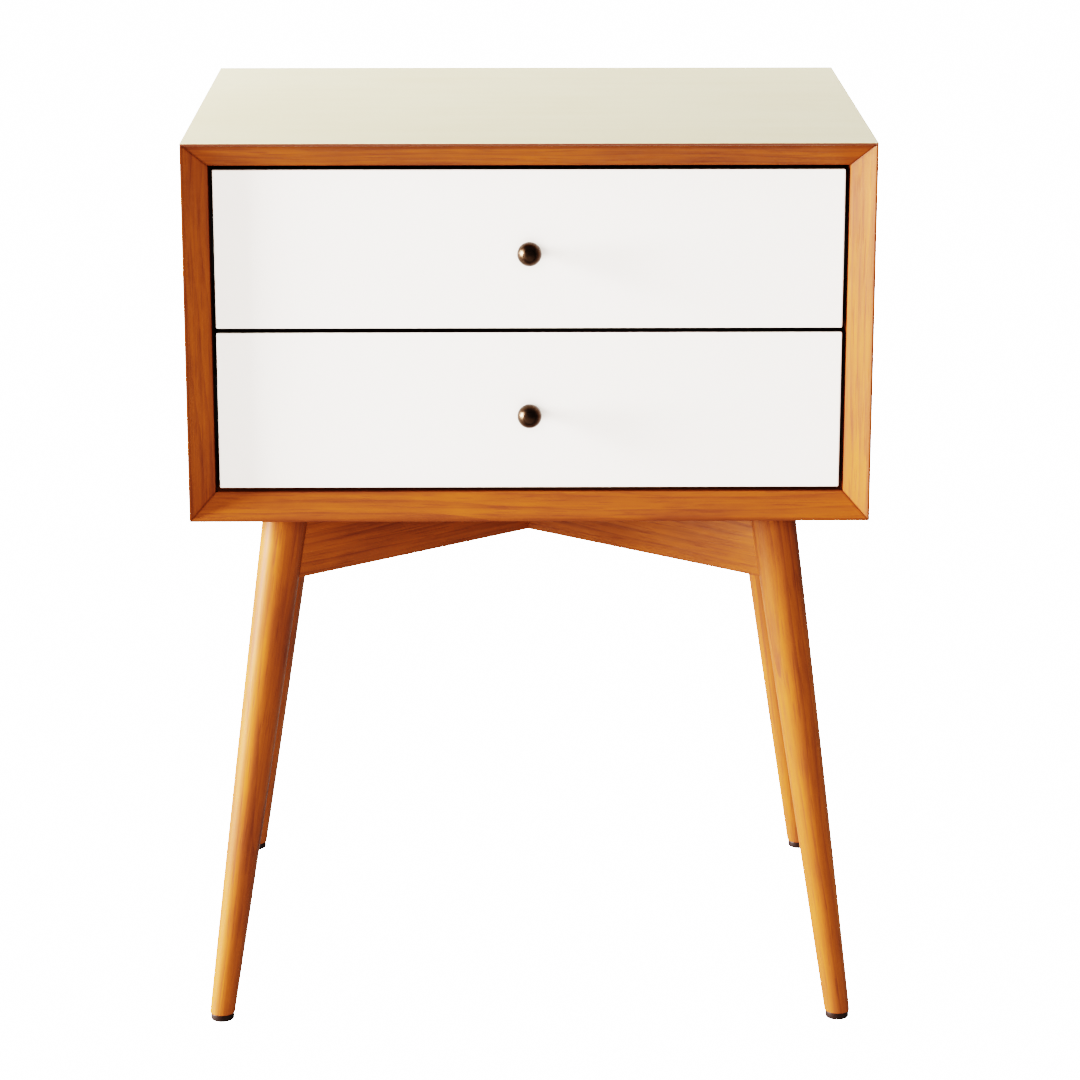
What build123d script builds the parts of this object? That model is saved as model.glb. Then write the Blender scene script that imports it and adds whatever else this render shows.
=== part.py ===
"""Nightstand with two drawers on splayed legs: every separate piece, in millimetres.

+X is to the right, +Y to the back and +Z up. The origin is on the floor, in the
middle of the whole object's box.
"""
from build123d import *
import math
import os

# Overall sizes
case_width = 457.0
case_depth = 350.0
case_height = 256.0
leg_height = 362.0  # floor to the underside of the case

# Case: four mitred boards, a bevelled front frame, a thin top sheet and a back
board = 17.0
top_sheet_thickness = 2.0
frame_depth = 22.0  # front to back size of the bevelled front frame
bevel_depth = 14.3  # how far the bevel runs back, and where the drawer fronts start
arris_flat = 1.2  # flat left at the outer edge of the bevel
back_thickness = 5.0
back_rabbet = 8.0
back_clearance = 0.5
spline_width = 12.0
spline_thickness = 3.0
spline_inset = 9.0  # from the inner corner, along the mitre
spline_end = 15.0

# Base: four splayed round legs and two crossed rails
splay = 10.0  # degrees, in the vertical plane of the case's diagonal
foot_inset_x = 12.5  # foot centre from the case's side
foot_inset_y = 5.0  # foot centre from the case's front or back
leg_top_radius = 15.4
leg_foot_radius = 8.6
rail_height = 50.0
rail_thickness = 20.0
glide_height = 5.0
glide_radius = 8.2
glide_edge = 1.0
glide_nail_radius = 1.5
glide_nail_length = 12.0
dowel_radius = 4.0
dowel_in_rail = 16.0
dowel_in_leg = 12.0
dowel_drop = 13.0  # from the top or bottom edge of a rail to its dowel
bolt_distance = 120.0  # from the middle of the cross, along a rail
bolt_radius = 3.0
bolt_in_rail = 15.0
bolt_head_radius = 6.0
bolt_head_height = 3.5
bolt_recess = 4.0
insert_radius = 4.75
insert_length = 14.0

# Drawers
drawer_gap = 2.8
front_thickness = 18.0
front_edge = 1.2
box_board = 12.0
box_below = 12.0  # drawer front's lower edge to the underside of the box
box_above = 15.0  # drawer front's upper edge to the top of the box
box_rear_clearance = 10.0
box_bottom_thickness = 6.0
box_bottom_height = 10.0
groove_depth = 5.0
groove_play = 0.5
housing_depth = 4.0  # how far the box front and back are let into the box sides
box_back_inset = 8.0

# Slides: three nested steel channels on each side of a drawer
slide_gap = 12.9
slide_height = 45.0
slide_step = 50.0  # slides come in whole steps of this length
slide_setback = 2.0
steel = 1.2
slide_play = 0.8
ball_diameter = 3.0
cabinet_lip_setback = 2.9
middle_lip_setback = 1.5

# Knobs
knob_radius = 8.1
knob_projection = 24.0
knob_head_start = 9.0
knob_dome = 1.2  # how far the middle of the head stands past the ball's front edge
knob_base_radius = 4.4
knob_base_height = 1.2
knob_neck_radius = 3.3
knob_centre_radius = 4.2
knob_groove = 0.5
knob_hole_depth = 10.0
knob_screw_radius = 2.0

# Small fixings
fit = 0.1  # radial clearance round a shank
screw_head_radius = 3.5
screw_head_height = 1.4
screw_radius = 1.75
cabinet_screw_length = 13.0
drawer_screw_length = 9.5
front_screw_length = 22.0
back_screw_length = 16.0
back_screw_corner = 30.0
slide_screw_end = 35.0
front_screw_inset = 45.0
bumper_radius = 4.0
bumper_gap = 0.5

# Worked out from the sizes above
case_bottom = leg_height
case_top = leg_height + case_height
case_middle = leg_height + case_height / 2
half_width = case_width / 2
opening_half = half_width - board
foot_x = half_width - foot_inset_x
foot_y = case_depth / 2 - foot_inset_y
foot_overhang = foot_y + leg_foot_radius - case_depth / 2
knob_overhang = knob_projection - bevel_depth
front_y = -(case_depth + foot_overhang - knob_overhang) / 2
back_y = front_y + case_depth
middle_y = front_y + case_depth / 2
frame_back_y = front_y + frame_depth
back_inner_y = back_y - back_thickness
fronts_y = front_y + bevel_depth
box_y = fronts_y + front_thickness
box_end_y = back_inner_y - box_rear_clearance
box_half = opening_half - slide_gap
box_inner_half = box_half - box_board
front_height = (case_height - 2 * board - 3 * drawer_gap) / 2
box_height = front_height - box_below - box_above
slide_length = slide_step * math.floor((box_end_y - box_y - slide_setback) / slide_step)
slide_y = box_y + slide_setback
diagonal = math.degrees(math.atan2(foot_y, foot_x))
foot_distance = math.hypot(foot_x, foot_y)
lean = math.tan(math.radians(splay))
leg_top_distance = foot_distance - leg_height * lean

parts = {}


def block(x0, x1, y0, y1, z0, z1):
    """A box between two opposite corners."""
    return Pos((x0 + x1) / 2, (y0 + y1) / 2, (z0 + z1) / 2) * Box(x1 - x0, y1 - y0, z1 - z0)


def prism(points, plane, start, end):
    """A flat outline, pushed from one level of its plane's normal to another."""
    outline = make_face(Polyline(*points, close=True))
    return extrude(plane.offset(start) * outline, amount=end - start)


def rod(radius, length):
    """A round bar that hangs down from z = 0."""
    return Pos(0, 0, -length / 2) * Cylinder(radius, length)


def screw(head_radius, head_height, radius, length):
    """A screw with its head above z = 0 and its shank below."""
    head = chamfer(Cylinder(head_radius, head_height).edges().group_by(Axis.Z)[-1], head_height / 3)
    return Pos(0, 0, head_height / 2) * head + rod(radius, length)


def group(solids):
    """Separate solids kept together in one node."""
    return Compound(children=list(solids))


def mitred_bar(points, length, depth):
    """A bar along X with its outer face at z = 0 and both ends mitred at 45 degrees.

    The points are pairs of a distance back from the case's front and one in from the
    outer face, and depth is the largest of the second ones.
    """
    section = [(front_y + back, -inward) for back, inward in points]
    bar = prism(section, Plane.YZ, -length / 2, length / 2)
    reach = length / 2
    ends = [(-reach, 0), (reach, 0), (reach - depth, -depth), (depth - reach, -depth)]
    return bar & prism(ends, Plane.XZ, -2 * case_depth, 2 * case_depth)


# The four sides of the case: name, where its outer face is, and the case's size along it
sides = {
    "top": (Pos(0, 0, case_top), case_width),
    "bottom": (Pos(0, 0, case_bottom) * Rot(0, 180, 0), case_width),
    "left": (Pos(-half_width, 0, case_middle) * Rot(0, -90, 0), case_height),
    "right": (Pos(half_width, 0, case_middle) * Rot(0, 90, 0), case_height),
}


# --- Case -------------------------------------------------------------------------

bevel_slope = bevel_depth / (board - arris_flat)
board_section = [
    (frame_depth, 0),
    (case_depth, 0),
    (case_depth, board - back_rabbet),
    (case_depth - back_thickness, board - back_rabbet),
    (case_depth - back_thickness, board),
    (frame_depth, board),
]
frame_section = [
    (0, 0),
    (frame_depth, 0),
    (frame_depth, board),
    (bevel_depth, board),
    (0, arris_flat),
]
sheet_bevel = [
    (0, arris_flat),
    (0, top_sheet_thickness),
    (bevel_slope * (top_sheet_thickness - arris_flat), top_sheet_thickness),
]

sheet_bottom = case_top - top_sheet_thickness
sheet = block(-half_width, half_width, front_y, back_y, sheet_bottom, case_top)
boards = {}
for name, (place, length) in sides.items():
    boards[name] = place * mitred_bar(board_section, length, board) - sheet
    parts["front_frame_" + name] = place * mitred_bar(frame_section, length, board) - sheet
parts["top_sheet"] = sheet - sides["top"][0] * mitred_bar(sheet_bevel, case_width, top_sheet_thickness)

# Splines across the four mitres
spline_length = back_inner_y - frame_back_y - 2 * spline_end
spline_y = (back_inner_y + frame_back_y) / 2
spline_in = board - spline_inset / math.sqrt(2)
splines = []
for side_x in (-1, 1):
    for side_z in (-1, 1):
        place = Pos(side_x * (half_width - spline_in), spline_y,
                    case_middle + side_z * (case_height / 2 - spline_in))
        strip = Box(spline_width, spline_length, spline_thickness)
        splines.append(place * Rot(0, 45 * side_x * side_z, 0) * strip)
parts["mitre_splines"] = group(splines)
for name in boards:
    for spline in splines:
        boards[name] -= spline

# Back panel in its rabbet, with a row of screws round it
back_in = board - back_rabbet + back_clearance
back_panel = block(-half_width + back_in, half_width - back_in, back_inner_y, back_y,
                   case_bottom + back_in, case_top - back_in)
ledge = board - back_rabbet / 2
back_screw_points = []
for side in (-1, 1):
    for step in (-1, 0, 1):
        x = step * (opening_half - back_screw_corner)
        back_screw_points.append((x, case_middle + side * (case_height / 2 - ledge)))
    for step in (-1, 1):
        z = case_middle + step * (case_height / 2 - board - back_screw_corner)
        back_screw_points.append((side * (half_width - ledge), z))
back_screws = []
for x, z in back_screw_points:
    place = Pos(x, back_y, z) * Rot(-90, 0, 0)
    back_screws.append(place * screw(screw_head_radius, screw_head_height, screw_radius, back_screw_length))
    hole = place * rod(screw_radius + fit, back_screw_length)
    back_panel -= hole
    for name in boards:
        boards[name] -= hole
parts["back_panel"] = back_panel
parts["back_panel_screws"] = group(back_screws)


# --- Base -------------------------------------------------------------------------

def leg_radius(z):
    """The leg's radius at a height above the floor."""
    return leg_foot_radius + (leg_top_radius - leg_foot_radius) * z / leg_height


def leg_axis(z):
    """How far the leg's axis is from the middle of the cross at a height."""
    return foot_distance - z * lean


corners = {
    "front_left": 180 + diagonal,
    "front_right": -diagonal,
    "rear_left": 180 - diagonal,
    "rear_right": diagonal,
}

axis_length = leg_height / math.cos(math.radians(splay))
spare = leg_top_radius  # added at both ends, then cut off level
taper = (leg_top_radius - leg_foot_radius) / axis_length
cone = Cone(leg_foot_radius - taper * spare, leg_top_radius + taper * spare, axis_length + 2 * spare)
leaning = Pos(foot_distance, 0, 0) * Rot(0, -splay, 0) * Pos(0, 0, axis_length / 2) * cone
leg_zone = block(0, 2 * foot_distance, -leg_height, leg_height, glide_height, case_bottom)
plain_leg = leaning & leg_zone

glide_x = leg_axis(glide_height)
foot = chamfer(Cylinder(glide_radius, glide_height).edges().group_by(Axis.Z)[0], glide_edge)
nail = Pos(glide_x, 0, glide_height + glide_nail_length)
glide = Pos(glide_x, 0, glide_height / 2) * foot + nail * rod(glide_nail_radius, glide_nail_length)
nail_hole = nail * rod(glide_nail_radius + fit, glide_nail_length)

dowels_at_leg = []
for z in (case_bottom - dowel_drop, case_bottom - rail_height + dowel_drop):
    joint_x = leg_axis(z) - leg_radius(z)
    place = Pos(joint_x + dowel_in_leg, 0, z) * Rot(0, 90, 0)
    dowels_at_leg.append(place * rod(dowel_radius, dowel_in_leg + dowel_in_rail))

dowels = []
leg_cutters = []
for name, turn in corners.items():
    place = Pos(0, middle_y, 0) * Rot(0, 0, turn)
    leg = plain_leg - nail_hole
    for dowel in dowels_at_leg:
        leg -= dowel
        dowels.append(place * dowel)
    parts[name + "_leg"] = place * leg
    parts[name + "_glide"] = place * glide
    leg_cutters.append(place * plain_leg)
parts["leg_dowels"] = group(dowels)

# Two rails, halved over each other in the middle, with a threaded insert in each arm
rail_bottom = case_bottom - rail_height
rail_middle = case_bottom - rail_height / 2
rail_bar = block(-leg_top_distance, leg_top_distance, -rail_thickness / 2, rail_thickness / 2,
                 rail_bottom, case_bottom)
rail_half = block(-leg_top_distance, leg_top_distance, -rail_thickness / 2, rail_thickness / 2,
                  rail_bottom, rail_middle)
rail_places = {
    "cross_rail_upper": Pos(0, middle_y, 0) * Rot(0, 0, diagonal),
    "cross_rail_lower": Pos(0, middle_y, 0) * Rot(0, 0, -diagonal),
}
upper_core = (rail_places["cross_rail_upper"] * rail_bar) & (rail_places["cross_rail_lower"] * rail_bar)
lower_core = (rail_places["cross_rail_upper"] * rail_half) & (rail_places["cross_rail_lower"] * rail_half)
rails = {
    "cross_rail_upper": rail_places["cross_rail_upper"] * rail_bar - lower_core,
    "cross_rail_lower": rail_places["cross_rail_lower"] * rail_bar - (upper_core - lower_core),
}
bolts = []
inserts = []
bolt_floor = case_bottom + board - bolt_recess
bolt_length = board - bolt_recess + bolt_in_rail
for turn in corners.values():
    place = Pos(0, middle_y, 0) * Rot(0, 0, turn) * Pos(bolt_distance, 0, 0)
    bolts.append(place * Pos(0, 0, bolt_floor) * screw(bolt_head_radius, bolt_head_height,
                                                       bolt_radius, bolt_length))
    boards["bottom"] -= place * Pos(0, 0, bolt_floor + bolt_recess) * rod(bolt_head_radius + fit, bolt_recess)
    boards["bottom"] -= place * Pos(0, 0, bolt_floor) * rod(bolt_radius + fit, board)
    sleeve = rod(insert_radius, insert_length) - rod(bolt_radius + fit, insert_length)
    inserts.append(place * Pos(0, 0, case_bottom) * sleeve)
    for name in rails:
        rails[name] -= place * Pos(0, 0, case_bottom) * rod(insert_radius, insert_length)
        rails[name] -= place * Pos(0, 0, case_bottom) * rod(bolt_radius + fit, bolt_in_rail)
for name in rails:
    for cutter in leg_cutters + dowels:
        rails[name] -= cutter
    parts[name] = rails[name]
parts["base_bolts"] = group(bolts)
parts["threaded_inserts"] = group(inserts)


# --- Knob -------------------------------------------------------------------------

ball_front = knob_projection - knob_dome
ball_middle = (knob_head_start + ball_front) / 2
knob_bore = knob_screw_radius + fit
knob_line = [
    Polyline((knob_bore, knob_hole_depth), (knob_bore, 0), (knob_base_radius, 0),
             (knob_base_radius, knob_base_height)),
    TangentArc((knob_neck_radius, knob_head_start / 2), (knob_base_radius, knob_base_height),
               tangent=(0, -1)),
    Line((knob_neck_radius, knob_head_start / 2), (knob_neck_radius, knob_head_start)),
    ThreePointArc((knob_neck_radius, knob_head_start), (knob_radius, ball_middle),
                  (knob_centre_radius, ball_front)),
    Line((knob_centre_radius, ball_front), (knob_centre_radius, ball_front - knob_groove)),
    TangentArc((0, knob_projection), (knob_centre_radius, ball_front - knob_groove), tangent=(1, 0)),
    Polyline((0, knob_projection), (0, knob_hole_depth), (knob_bore, knob_hole_depth)),
]
knob = revolve(Plane.XZ * make_face(Curve() + knob_line), Axis.Z)


# --- Slides -----------------------------------------------------------------------

# Across a slide, 0 is the case's side and slide_gap is the drawer's side
middle_web = steel + screw_head_height + slide_play
drawer_lip = middle_web + steel + slide_play
middle_height = slide_height - 2 * steel - 2 * ball_diameter
drawer_height = middle_height - 2 * steel - 2 * ball_diameter


def channel(web_start, lip_start, lip_end, height):
    """A steel channel: a web and two lips, from across to along the slide."""
    half = height / 2
    body = block(lip_start, lip_end, 0, slide_length, -half, half)
    body -= block(lip_start - 1, lip_end + 1, -1, slide_length + 1, steel - half, half - steel)
    return body + block(web_start, web_start + steel, 0, slide_length, -half, half)


cabinet_channel = channel(0, 0, slide_gap - cabinet_lip_setback, slide_height)
middle_channel = channel(middle_web, middle_web, slide_gap - middle_lip_setback, middle_height)
drawer_channel = channel(slide_gap - steel, drawer_lip, slide_gap, drawer_height)
screw_steps = (slide_screw_end, slide_length / 2, slide_length - slide_screw_end)


def screws_along(x, turn, length):
    """Screws and their holes, with heads on the plane x, driven in along the turn."""
    made = []
    holes = []
    for step in screw_steps:
        place = Pos(x, step, 0) * Rot(0, turn, 0)
        made.append(place * screw(screw_head_radius, screw_head_height, screw_radius, length))
        holes.append(place * rod(screw_radius + fit, length))
    return made, holes


cabinet_screws, cabinet_holes = screws_along(steel, 90, cabinet_screw_length)
drawer_screws, drawer_holes = screws_along(slide_gap - steel, -90, drawer_screw_length)
for hole in cabinet_holes:
    cabinet_channel -= hole
for hole in drawer_holes:
    drawer_channel -= hole


# --- Drawers ----------------------------------------------------------------------

drawers = {
    "lower": case_bottom + board + drawer_gap,
    "upper": case_bottom + board + 2 * drawer_gap + front_height,
}
front_half = opening_half - drawer_gap
all_cabinet_screws = []
bumpers = []
for level, low in drawers.items():
    box_low = low + box_below
    box_top = box_low + box_height
    knob_z = low + front_height / 2
    slide_z = (box_low + box_top) / 2

    # The four sides of the box, let into each other, and its bottom in a groove
    box_left = block(-box_half, -box_inner_half, box_y, box_end_y, box_low, box_top)
    box_right = block(box_inner_half, box_half, box_y, box_end_y, box_low, box_top)
    reach = box_inner_half + housing_depth
    box_front = block(-reach, reach, box_y, box_y + box_board, box_low, box_top)
    back_start = box_end_y - box_back_inset - box_board
    box_back = block(-reach, reach, back_start, back_start + box_board, box_low, box_top)
    groove_half = box_inner_half + groove_depth
    floor_low = box_low + box_bottom_height
    groove = block(-groove_half, groove_half, box_y + box_board - groove_depth, back_start + groove_depth,
                   floor_low, floor_low + box_bottom_thickness)
    floor_half = groove_half - groove_play
    box_bottom = block(-floor_half, floor_half, box_y + box_board - groove_depth + groove_play,
                       back_start + groove_depth - groove_play, floor_low,
                       floor_low + box_bottom_thickness)
    box_left = box_left - box_front - box_back - groove
    box_right = box_right - box_front - box_back - groove
    box_front -= groove
    box_back -= groove

    # Drawer front, its screws from inside the box, and the knob with its own screw
    front = block(-front_half, front_half, fronts_y, box_y, low, low + front_height)
    front = fillet(front.faces().sort_by(Axis.Y)[0].edges(), front_edge)
    front_screws = []
    for side_x in (-1, 1):
        for side_z in (-1, 1):
            z = (floor_low + box_bottom_thickness + box_top) / 2 + side_z * box_height / 5
            place = Pos(side_x * (box_inner_half - front_screw_inset), box_y + box_board, z)
            place = place * Rot(-90, 0, 0)
            front_screws.append(place * screw(screw_head_radius, screw_head_height,
                                              screw_radius, front_screw_length))
            hole = place * rod(screw_radius + fit, front_screw_length)
            front -= hole
            box_front -= hole
    knob_screw_length = box_board + front_thickness + knob_hole_depth
    knob_place = Pos(0, box_y + box_board, knob_z) * Rot(-90, 0, 0)
    knob_screw = knob_place * screw(screw_head_radius, screw_head_height, knob_screw_radius,
                                    knob_screw_length)
    knob_hole = knob_place * rod(knob_screw_radius + fit, knob_screw_length)
    front -= knob_hole
    box_front -= knob_hole

    # Slides on both sides: mirrored about the middle of the case
    slide_screws = []
    for side, flip in (("left", False), ("right", True)):
        place = Pos(-opening_half, slide_y, slide_z)

        def put(shape):
            """Place a slide's piece at this drawer's side."""
            return mirror(place * shape, Plane.YZ) if flip else place * shape

        parts[f"{level}_{side}_slide_cabinet"] = put(cabinet_channel)
        parts[f"{level}_{side}_slide_middle"] = put(middle_channel)
        parts[f"{level}_{side}_slide_drawer"] = put(drawer_channel)
        all_cabinet_screws += [put(shape) for shape in cabinet_screws]
        slide_screws += [put(shape) for shape in drawer_screws]
        for hole in cabinet_holes:
            boards[side] -= put(hole)
        for hole in drawer_holes:
            if flip:
                box_right -= put(hole)
            else:
                box_left -= put(hole)

    # Rubber bumpers on the back panel, behind the box's back
    bumper_length = box_rear_clearance - bumper_gap
    for side_x in (-1, 1):
        place = Pos(side_x * (box_half - box_board / 2), back_inner_y - bumper_length, slide_z)
        pad = place * Rot(90, 0, 0) * rod(bumper_radius, bumper_length)
        bumpers.append(pad)

    parts[level + "_front"] = front
    parts[level + "_box_front"] = box_front
    parts[level + "_box_left"] = box_left
    parts[level + "_box_right"] = box_right
    parts[level + "_box_back"] = box_back
    parts[level + "_box_bottom"] = box_bottom
    parts[level + "_front_screws"] = group(front_screws)
    parts[level + "_slide_screws"] = group(slide_screws)
    parts[level + "_knob"] = Pos(0, fronts_y, knob_z) * Rot(90, 0, 0) * knob
    parts[level + "_knob_screw"] = knob_screw

parts["slide_cabinet_screws"] = group(all_cabinet_screws)
parts["drawer_bumpers"] = group(bumpers)
parts["top_panel"] = boards["top"]
parts["bottom_panel"] = boards["bottom"]
parts["left_side_panel"] = boards["left"]
parts["right_side_panel"] = boards["right"]

os.makedirs("parts", exist_ok=True)
for name, shape in parts.items():
    export_step(shape, f"parts/{name}.step")
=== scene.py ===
"""Nightstand with two drawers on splayed legs: its finished look, piece by piece, in metres."""
import math

import bmesh
import bpy
from mathutils import Matrix, Vector


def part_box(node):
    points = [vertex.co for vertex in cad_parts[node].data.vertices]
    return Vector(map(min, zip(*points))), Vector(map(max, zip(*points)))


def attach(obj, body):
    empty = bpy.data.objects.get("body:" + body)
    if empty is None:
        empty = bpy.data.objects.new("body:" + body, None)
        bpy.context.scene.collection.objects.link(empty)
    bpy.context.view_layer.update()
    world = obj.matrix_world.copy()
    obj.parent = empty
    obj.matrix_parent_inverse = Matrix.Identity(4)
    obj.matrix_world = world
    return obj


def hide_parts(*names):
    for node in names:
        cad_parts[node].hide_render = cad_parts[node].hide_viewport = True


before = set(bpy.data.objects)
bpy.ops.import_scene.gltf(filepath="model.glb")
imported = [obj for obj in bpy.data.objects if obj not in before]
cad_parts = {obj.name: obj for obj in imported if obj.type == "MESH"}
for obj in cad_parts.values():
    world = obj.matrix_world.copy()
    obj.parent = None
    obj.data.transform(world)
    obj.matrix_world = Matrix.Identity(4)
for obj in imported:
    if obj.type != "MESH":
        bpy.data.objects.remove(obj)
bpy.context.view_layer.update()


# --- Legs -------------------------------------------------------------------------
# Four turned legs of solid hardwood, stained acorn brown and satin lacquered. Each is a
# tapered round with a slight swell, leans out along the case's diagonal, and is cut level
# at both ends. The rails' dowels hold it at the top.

def add(tree, kind, inputs=(), **settings):
    """A node in a tree, with its settings, and with values or links on its inputs."""
    node = tree.nodes.new(kind)
    for key, value in settings.items():
        setattr(node, key, value)
    for key, value in dict(inputs).items():
        if isinstance(value, bpy.types.NodeSocket):
            tree.links.new(value, node.inputs[key])
        else:
            node.inputs[key].default_value = value
    return node


def new_group(name, kind, inputs, outputs):
    """A node group with named sockets: its tree, its inputs and its output node.

    An input is given by its default value, or by the kind of its socket if it has none.
    """
    tree = bpy.data.node_groups.new(name, kind)
    for label, default in inputs.items():
        if isinstance(default, str):
            socket = default
        elif isinstance(default, tuple):
            socket = "Color" if len(default) == 4 else "Vector"
        else:
            socket = "Int" if isinstance(default, int) else "Float"
        made = tree.interface.new_socket(label, in_out="INPUT", socket_type="NodeSocket" + socket)
        if not isinstance(default, str):
            made.default_value = default
    for label, socket in outputs.items():
        tree.interface.new_socket(label, in_out="OUTPUT", socket_type="NodeSocket" + socket)
    return tree, tree.nodes.new("NodeGroupInput").outputs, tree.nodes.new("NodeGroupOutput").inputs


def new_surface(name, inputs):
    """A shader group that gives a surface its colour, roughness and height."""
    return new_group(name, "ShaderNodeTree", {"Vector": "Vector", **inputs},
                     {"Color": "Color", "Roughness": "Float", "Height": "Float"})


def give_out(tree, out, **values):
    """Ends a shader group: each value goes to the output of that name."""
    for label, value in values.items():
        tree.links.new(value, out[label])
    return tree


def sums(tree, operation, first, *others):
    """A maths step on one value, or with each of the others in turn; the last result's socket."""
    for other in others or (0.0,):  # a step on one value doesn't read the second
        first = add(tree, "ShaderNodeMath", {0: first, 1: other}, operation=operation).outputs[0]
    return first


def spread(tree, value, centre, amount):
    """How far a value is from its centre, times an amount."""
    return sums(tree, "MULTIPLY", sums(tree, "SUBTRACT", value, centre), amount)


def remap(tree, value, low, high, to_low=0.0, to_high=1.0):
    """A value carried from one range to another and held inside it."""
    ends = {0: value, 1: low, 2: high, 3: to_low, 4: to_high}
    return add(tree, "ShaderNodeMapRange", ends).outputs[0]


def held(tree, value):
    """A value held between 0 and 1."""
    return add(tree, "ShaderNodeClamp", {0: value}).outputs[0]


def joined(tree, x=0.0, y=0.0, z=0.0):
    """A vector from its three parts; the result's socket."""
    return add(tree, "ShaderNodeCombineXYZ", {0: x, 1: y, 2: z}).outputs[0]


def vector_sum(tree, operation, *values):
    """One step of vector maths; the result's socket."""
    return add(tree, "ShaderNodeVectorMath", dict(enumerate(values)), operation=operation).outputs[0]


def noise(tree, vector, scale, detail, stretch=(1, 1, 1)):
    """Noise from 0 to 1 about a middle of 0.5, drawn out along the grain by its stretch."""
    stretched = vector_sum(tree, "MULTIPLY", vector, stretch)
    settings = {"Vector": stretched, "Scale": scale, "Detail": detail, "Roughness": 0.55}
    return add(tree, "ShaderNodeTexNoise", settings).outputs["Fac"]


def blend(tree, amount, first, second, mode="MIX"):
    """Two colours mixed by an amount; the result's socket."""
    node = add(tree, "ShaderNodeMix", data_type="RGBA", blend_type=mode)
    for index, value in ((0, amount), (6, first), (7, second)):
        if isinstance(value, bpy.types.NodeSocket):
            tree.links.new(value, node.inputs[index])
        else:
            node.inputs[index].default_value = value
    return node.outputs[2]


def wood_grain():
    """Solid wood with X along the grain: growth rings, streaks, pores, blotches and plies."""
    tree, given, out = new_surface("Wood grain", {
        "Edge": 0.0, "Arris": 0.0, "Light": (0.7, 0.3, 0.1, 1), "Dark": (0.3, 0.1, 0.03, 1),
        "Ring spacing": 0.006, "Ring contrast": 0.3, "Streak contrast": 0.5, "Blotch contrast": 0.6,
        "Pores": 0.5, "Arris stain": 0.5, "Ply": 0.0015, "Ply contrast": 0.0, "Gloss roughness": 0.34})
    wander = noise(tree, given["Vector"], 9.0, 2.0, (0.35, 1, 1))
    drift = spread(tree, wander, 0.5, 0.03)
    place = add(tree, "ShaderNodeSeparateXYZ", {0: given["Vector"]}).outputs
    across = sums(tree, "ADD", place[1], drift)
    pith = sums(tree, "ADD", place[2], 0.06, drift)
    radius = sums(tree, "SQRT", sums(tree, "ADD", sums(tree, "MULTIPLY", across, across),
                                     sums(tree, "MULTIPLY", pith, pith)))
    turn = sums(tree, "FRACT", sums(tree, "DIVIDE", radius, given["Ring spacing"]))
    ring = sums(tree, "POWER", turn, 2.2)
    streak = noise(tree, given["Vector"], 330.0, 3.0, (0.035, 1, 1))
    fibre = noise(tree, given["Vector"], 1500.0, 2.0, (0.03, 1, 1))
    blotch = noise(tree, given["Vector"], 26.0, 3.0, (0.45, 1, 1))
    pore = remap(tree, noise(tree, given["Vector"], 900.0, 0.0, (0.05, 1, 1)), 0.36, 0.26)
    fibre_share = spread(tree, fibre, 0.5, 0.35)
    amount = sums(tree, "ADD", 0.5, fibre_share)
    for value, centre, contrast in ((ring, 0.3, "Ring contrast"), (streak, 0.5, "Streak contrast"),
                                    (blotch, 0.5, "Blotch contrast")):
        amount = sums(tree, "SUBTRACT", amount, spread(tree, value, centre, given[contrast]))
    layer = given["Ply"]
    plies = remap(tree, sums(tree, "PINGPONG", place[2], layer),
                  sums(tree, "MULTIPLY", layer, 0.42), sums(tree, "MULTIPLY", layer, 0.58))
    ply_share = sums(tree, "MULTIPLY", plies, given["Edge"], given["Ply contrast"])
    amount = held(tree, sums(tree, "SUBTRACT", amount, ply_share))
    stained = blend(tree, amount, given["Dark"], given["Light"])
    pore_amount = sums(tree, "MULTIPLY", pore, given["Pores"])
    stained = blend(tree, pore_amount, stained, given["Dark"])
    # The colour goes darker over the arrises, by the arris share.
    darker = blend(tree, 1.0, given["Dark"], (0.5, 0.42, 0.4, 1), "MULTIPLY")
    arris = sums(tree, "MULTIPLY", given["Arris"], given["Arris stain"])
    rough = sums(tree, "ADD", given["Gloss roughness"], spread(tree, blotch, 0.5, 0.12),
                 sums(tree, "MULTIPLY", pore_amount, 0.2))
    return give_out(tree, out, Color=blend(tree, arris, stained, darker), Roughness=rough,
                    Height=sums(tree, "SUBTRACT", fibre_share, pore_amount))


finishes = {}


def new_finish(name, group, values, bump, bump_distance, attributes=(), **shader):
    """A material whose colour, roughness and bump come from a group and from named attributes."""
    material = bpy.data.materials.new(name)
    finishes[name] = material
    material.use_nodes = True
    tree = material.node_tree
    tree.nodes.clear()
    surface = add(tree, "ShaderNodeBsdfPrincipled", {k.replace("_", " "): v for k, v in shader.items()})
    output = add(tree, "ShaderNodeOutputMaterial")
    tree.links.new(surface.outputs[0], output.inputs["Surface"])
    pattern = add(tree, "ShaderNodeGroup", node_tree=group)
    for key, value in values.items():
        pattern.inputs[key].default_value = value
    sources = dict(attributes)
    if "Vector" not in sources:
        tree.links.new(add(tree, "ShaderNodeTexCoord").outputs["Object"], pattern.inputs["Vector"])
    for socket, attribute in sources.items():
        source = add(tree, "ShaderNodeAttribute", attribute_name=attribute).outputs
        read = source["Vector" if socket == "Vector" else "Fac"]
        tree.links.new(read, pattern.inputs[socket])
    for socket, entry in (("Color", "Base Color"), ("Roughness", "Roughness")):
        tree.links.new(pattern.outputs[socket], surface.inputs[entry])
    relief = add(tree, "ShaderNodeBump", {"Strength": bump, "Distance": bump_distance,
                                          "Height": pattern.outputs["Height"]})
    tree.links.new(relief.outputs[0], surface.inputs["Normal"])


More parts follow.
